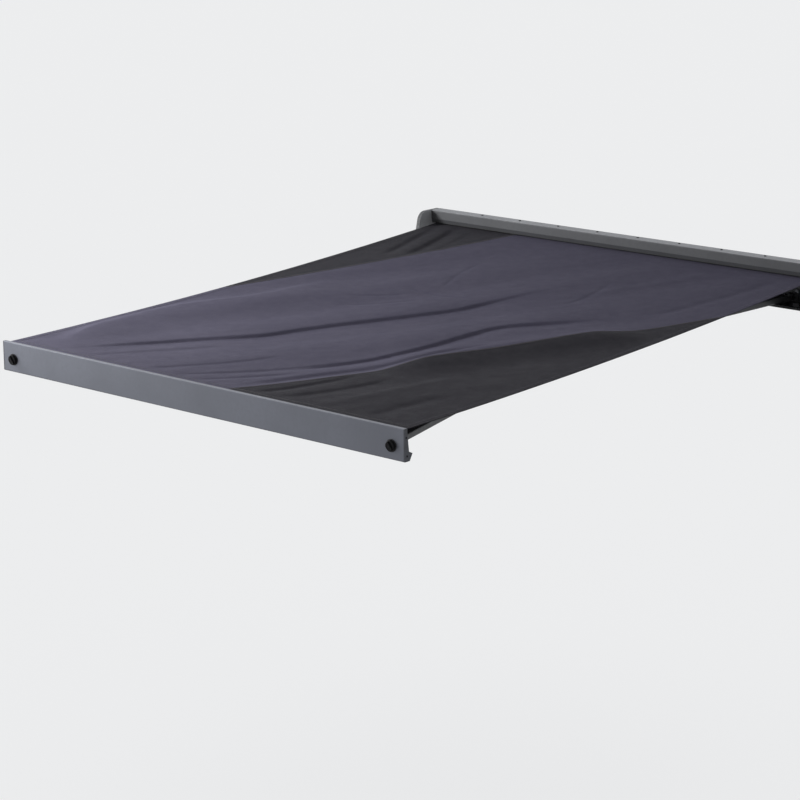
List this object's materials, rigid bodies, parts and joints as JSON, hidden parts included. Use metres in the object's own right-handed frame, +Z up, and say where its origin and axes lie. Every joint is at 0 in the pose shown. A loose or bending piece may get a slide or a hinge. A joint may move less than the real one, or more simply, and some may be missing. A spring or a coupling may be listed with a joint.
{
  "type": "vehicle side awning",
  "caption": "Roof-rack side awning with a cassette, roller, sloping cloth, crossed folding arms and a deep front rail with quarter-turn latches.",
  "frame": {"origin": "middle of the centre foot's underside, where it rests on the roof bar", "axes": "+Z up, -Y out from the vehicle along the cloth, +X along the cassette to the right as seen from the front rail"},
  "size_m": [2, 2.5899, 0.2661],
  "materials": {
    "case_grey": "dark grey powder coat",
    "cover_grey": "grey powder coat",
    "rail_grey": "grey powder coat",
    "end_plastic": "moulded, matte",
    "black_plastic": "moulded, matte",
    "arm_aluminium": "dark grey powder coat",
    "arm_casting": "dark grey coated casting",
    "roller_aluminium": "mill finish",
    "steel": "zinc plated",
    "motor_paint": "black paint",
    "seal_rubber": "matte",
    "canopy_cloth": "coated polyester weave, slate with charcoal side panels"
  },
  "bodies": {
    "root": {"back_profile": "case_grey", "cover_shell": "cover_grey", "left_end_plate": "end_plastic", "right_end_plate": "end_plastic", "left_end_cover": "end_plastic", "right_end_cover": "end_plastic", "mount_bracket_left": "case_grey", "mount_bracket_centre": "case_grey", "mount_bracket_right": "case_grey", "stud_plate_left": "steel", "stud_plate_centre": "steel", "stud_plate_right": "steel", "lip_seal": "seal_rubber", "gutter_seal": "seal_rubber", "cable_gland": "black_plastic", "left_latch_keeper": "steel", "right_latch_keeper": "steel", "idler_bearing": "black_plastic", "motor": "motor_paint", "motor_holder": "steel", "left_shoulder_bracket": "arm_casting", "right_shoulder_bracket": "arm_casting", "left_shoulder_pin": "steel", "right_shoulder_pin": "steel", "canopy": "canopy_cloth"},
    "roller": {"roller_tube": "roller_aluminium", "roller_keder": "black_plastic", "fabric_roll": "canopy_cloth", "idler_plug": "black_plastic", "drive_adapter": "black_plastic"},
    "left_upper": {"left_upper_arm": "arm_aluminium", "left_shoulder_eye": "arm_casting", "left_elbow_fork": "arm_casting", "left_elbow_pin": "steel", "left_arm_spring": "steel"},
    "left_lower": {"left_forearm": "arm_aluminium", "left_elbow_tongue": "arm_casting", "left_wrist_eye": "arm_casting"},
    "right_upper": {"right_upper_arm": "arm_aluminium", "right_shoulder_eye": "arm_casting", "right_elbow_fork": "arm_casting", "right_elbow_pin": "steel", "right_arm_spring": "steel"},
    "right_lower": {"right_forearm": "arm_aluminium", "right_elbow_tongue": "arm_casting", "right_wrist_eye": "arm_casting"},
    "rail": {"front_rail": "rail_grey", "rail_end_cap_left": "rail_grey", "rail_end_cap_right": "rail_grey", "front_keder": "black_plastic", "left_wrist_bracket": "arm_casting", "right_wrist_bracket": "arm_casting", "left_wrist_pin": "steel", "right_wrist_pin": "steel", "left_latch_ring": "black_plastic", "right_latch_ring": "black_plastic"},
    "left_latch": {"left_latch_knob": "black_plastic", "left_latch_cam": "steel"},
    "right_latch": {"right_latch_knob": "black_plastic", "right_latch_cam": "steel"}
  },
  "joints": [
    {"name": "left_shoulder", "type": "hinge", "parent": "root", "child": "left_upper", "pos_m": [-0.84, 0.0085, 0.057], "axis": [0, -0.0424, 0.9991], "range_deg": [0, 79.06], "deforming": ["canopy"]},
    {"name": "left_elbow", "type": "hinge", "parent": "left_upper", "child": "left_lower", "pos_m": [-0.62848, -1.18998, 0.00615], "axis": [0, -0.0424, 0.9991], "range_deg": [-158.12, 0]},
    {"name": "left_wrist", "type": "hinge", "parent": "left_lower", "child": "rail", "pos_m": [-0.84, -2.38846, -0.0447], "axis": [0, -0.0424, 0.9991], "range_deg": [0, 79.06]},
    {"name": "right_shoulder", "type": "hinge", "parent": "root", "child": "right_upper", "pos_m": [0.84, 0.0085, 0.028], "axis": [0, -0.0424, 0.9991], "range_deg": [-79.06, 0]},
    {"name": "right_elbow", "type": "hinge", "parent": "right_upper", "child": "right_lower", "pos_m": [0.62848, -1.18998, -0.02285], "axis": [0, -0.0424, 0.9991], "range_deg": [0, 158.12]},
    {"name": "roller_spin", "type": "hinge", "parent": "root", "child": "roller", "pos_m": [0, 0.0115, 0.139], "axis": [1, 0, 0], "range_deg": [0, 5850.38]},
    {"name": "left_latch_turn", "type": "hinge", "parent": "rail", "child": "left_latch", "pos_m": [-0.921, -2.4595, -0.0441], "axis": [0, 1, 0], "range_deg": [0, 90]},
    {"name": "right_latch_turn", "type": "hinge", "parent": "rail", "child": "right_latch", "pos_m": [0.921, -2.4595, -0.0441], "axis": [0, -1, 0], "range_deg": [0, 90]}
  ],
  "couplings": [
    {"joint": "left_elbow", "follows": "left_shoulder", "ratio": -2},
    {"joint": "left_wrist", "follows": "left_shoulder", "ratio": 1},
    {"joint": "right_shoulder", "follows": "left_shoulder", "ratio": -1},
    {"joint": "right_elbow", "follows": "left_shoulder", "ratio": 2},
    {"joint": "roller_spin", "follows": "left_shoulder", "ratio": 74}
  ]
}
